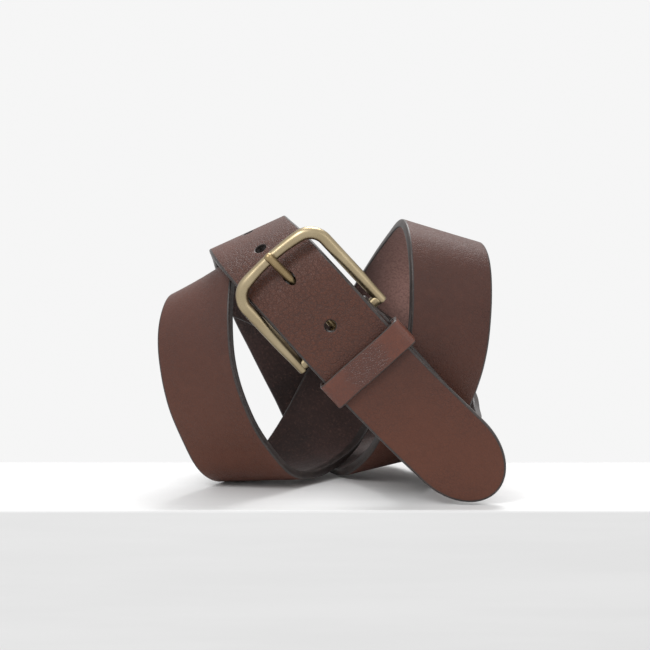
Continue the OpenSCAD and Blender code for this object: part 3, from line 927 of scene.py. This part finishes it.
karc(u0 + kr, y0 + kr, 180, 270)
kline((u0 + kr, y0), (u1 - kr, y0), 60)
karc(u1 - kr, y0 + kr, 270, 360)
kline((u1, y0 + kr), (u1, y1 - kr * 0.6), 8)
kr_b = 1.3
KB = []
kr = kr_b
karc(u1 - kr, y1 - kr, 0, 90, 8)
kline((u1 - kr, y1), (u0 + kr, y1), 60)
karc(u0 + kr, y1 - kr, 90, 180, 8)
kline((u0, y1 - kr), (u0, y0 + 2.5), 8)
KL = np.array(kloop)
kd = np.roll(KL, -1, 0) - np.roll(KL, 1, 0)
kd /= np.linalg.norm(kd, axis=1)[:, None]
kn = np.stack([kd[:, 1], -kd[:, 0]], 1)          # outward for a loop run this way
if (kn[30] @ np.array([0, -1.0])) < 0:
    kn = -kn
re_ = 0.55
ksec = []
for wv in np.linspace(-KW / 2 + re_, KW / 2 - re_, 11):
    ksec.append((wv, KT / 2, 0))
for g in (25, 50, 75, 90, 105, 130, 155):
    a = math.radians(g)
    ksec.append((KW / 2 - re_ + re_ * math.sin(a), (KT / 2 - re_) * (1 if g < 90 else -1 if g > 90 else 0) + re_ * math.cos(a), 1))
for wv in np.linspace(KW / 2 - re_, -KW / 2 + re_, 11):
    ksec.append((wv, -KT / 2, 2))
for g in (155, 130, 105, 90, 75, 50, 25):
    a = math.radians(g)
    ksec.append((-KW / 2 + re_ - re_ * math.sin(a), (KT / 2 - re_) * (1 if g < 90 else -1 if g > 90 else 0) + re_ * math.cos(a), 1))
kv, kuv, kf, kmi = [], [], [], []
m_k, n_k = len(KL), len(ksec)
for i in range(m_k):
    for (wv, t, mt) in ksec:
        bulge = 0.0
        if KL[i][1] < y0 + 0.01 and mt == 0:
            bulge = 0.18 * math.cos(math.pi * wv / KW)
        q = KL[i] + kn[i] * (t + bulge)
        wob = 0.10 * math.sin(KL[i][0] * 0.21 + (1.1 if wv > 0 else 0.0)) * (abs(wv) > KW / 2 - 0.8)
        kv.append((kc + ACROSS * q[0] + np.array([0, 1, 0]) * q[1] + ALONG * (wv + wob)) * MM)
        kuv.append((wv * MM, KL[i][0] * MM))
for i in range(m_k):
    i2 = (i + 1) % m_k
    for k in range(n_k):
        b = (k + 1) % n_k
        kf.append((i * n_k + k, i * n_k + b, i2 * n_k + b, i2 * n_k + k))
        ka, kb = ksec[k][2], ksec[b][2]
        kmi.append(0 if ka == 0 and kb == 0 else 2 if ka == 2 and kb == 2 else 1)
keeper = make_mesh("keeper_loop", kv, kf, [M_KEEP, M_KEEP_EDGE, M_FLESH, M_CUT], kuv, True, kmi)
clean(keeper, 1e-7)
kcut = [lathe("cut_staple", [(0.42, K_B - 1.0), (0.42, K_B + KT + 1.0)], kc + ACROSS * 0.5 + ALONG * z, (0, 1, 0), [M_CUT], 24)
        for z in (-3, 3)]
cut(keeper, kcut)
sharp_by_angle(keeper, 55)
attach(keeper, "keeper_body")
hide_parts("keeper")

# staple: two legs through the loop and a crown on its back
sl = []
yb, yt = K_B - 0.05, K_B + KT + 0.16
for y in np.linspace(yb, yt - 0.5, 8):
    sl.append((-3.0, y))
for g in range(0, 91, 15):
    a = math.radians(g)
    sl.append((-2.5 - 0.5 * math.cos(a), yt - 0.5 + 0.5 * math.sin(a)))
for z in np.linspace(-2.3, 2.3, 14):
    sl.append((z, yt))
for g in range(90, -1, -15):
    a = math.radians(g)
    sl.append((2.5 + 0.5 * math.cos(a), yt - 0.5 + 0.5 * math.sin(a)))
for y in np.linspace(yt - 0.5, yb, 8)[1:]:
    sl.append((3.0, y))
spts = [kc + ACROSS * 0.5 + ALONG * z + np.array([0, y, 0]) for z, y in sl]
staple = tube("keeper_staple_wire", spts, [0.36] * len(spts), [M_WIRE], 20, up=tuple(ACROSS))
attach(staple, "keeper_body")
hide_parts("keeper_staple")

# ------------------------------------------------------------------ stage, light, camera
def pale(name, c, r):
    n = Nodes(name)
    a = n.noise(n.mapping(n.tc.outputs["Object"], scale=(3, 40, 40)), 2.0, 5, 0.6)
    col = n.mix(n.span(a, 0.3, 0.75), c, tuple(min(1.0, x * 1.04) for x in c[:3]) + (1.0,))
    nb = n.bump(a, 0.08, 0.0006)
    return n.set(color=col, rough=r, normal=nb, spec=0.25)


shelf_mat = pale("pale_shelf", (0.66, 0.66, 0.66, 1.0), 0.6)
X, YF, YB, DEEP = 1.6, -0.060, 0.047, 0.12
sv = [(-X, YF, 0), (X, YF, 0), (X, YB, 0), (-X, YB, 0), (-X, YF, -DEEP), (X, YF, -DEEP), (X, YB, -DEEP), (-X, YB, -DEEP)]
sf = [(0, 1, 2, 3), (4, 7, 6, 5), (0, 4, 5, 1), (1, 5, 6, 2), (2, 6, 7, 3), (3, 7, 4, 0)]
shelf = make_mesh("shelf", sv, sf, [shelf_mat], None, False)
bv = shelf.modifiers.new("edge", "BEVEL")
bv.width = 0.0012
bv.segments = 3
apply_mods(shelf)

world = bpy.data.worlds.new("studio")
bpy.context.scene.world = world
world.use_nodes = True
bg = world.node_tree.nodes["Background"]
bg.inputs[0].default_value = (1.0, 1.0, 1.0, 1.0)
bg.inputs[1].default_value = 0.92


def area(name, loc, target, size, power, color=(1, 1, 1), size_y=None):
    d = bpy.data.lights.new(name, "AREA")
    d.energy = power
    d.color = color
    if size_y:
        d.shape = "RECTANGLE"
        d.size_y = size_y
    d.size = size
    o = bpy.data.objects.new(name, d)
    bpy.context.scene.collection.objects.link(o)
    o.location = loc
    o.rotation_euler = (Vector(target) - Vector(loc)).to_track_quat("-Z", "Y").to_euler()
    return o


area("key", (-0.55, -0.80, 1.0), (0, 0, 0.05), 0.45, 7.5)
area("fill", (0.9, -0.75, 0.5), (0, 0, 0.06), 0.6, 1.1)
area("top", (0.1, 0.45, 0.9), (0, 0, 0.08), 0.5, 9.0)

cam_d = bpy.data.cameras.new("camera")
cam = bpy.data.objects.new("camera", cam_d)
bpy.context.scene.collection.objects.link(cam)
bpy.context.scene.camera = cam
cam_d.sensor_width = 36.0
cam_d.lens = 158.4
cam_d.clip_start = 0.05
cam_d.clip_end = 20
EL = math.radians(9.0)
tgt = Vector((0, 0, 0.061))
cam.location = tgt + Vector((0, -math.cos(EL), math.sin(EL))) * 1.3
cam.rotation_euler = (math.pi / 2 - EL, 0, 0)
cam_d.shift_x = -7.5 / 650
cam_d.shift_y = 25.5 / 650

bpy.context.scene.view_settings.view_transform = "Standard"
move = Vector((1.1, 1.27, 0.9 - UP)) * MM
for ob in list(bpy.data.objects):
    if ob.type == "MESH" and ob.name not in CAD_OBJECTS and ob is not shelf:
        ob.data.transform(Matrix.Translation(move))
cam.location += move
bpy.context.view_layer.update()
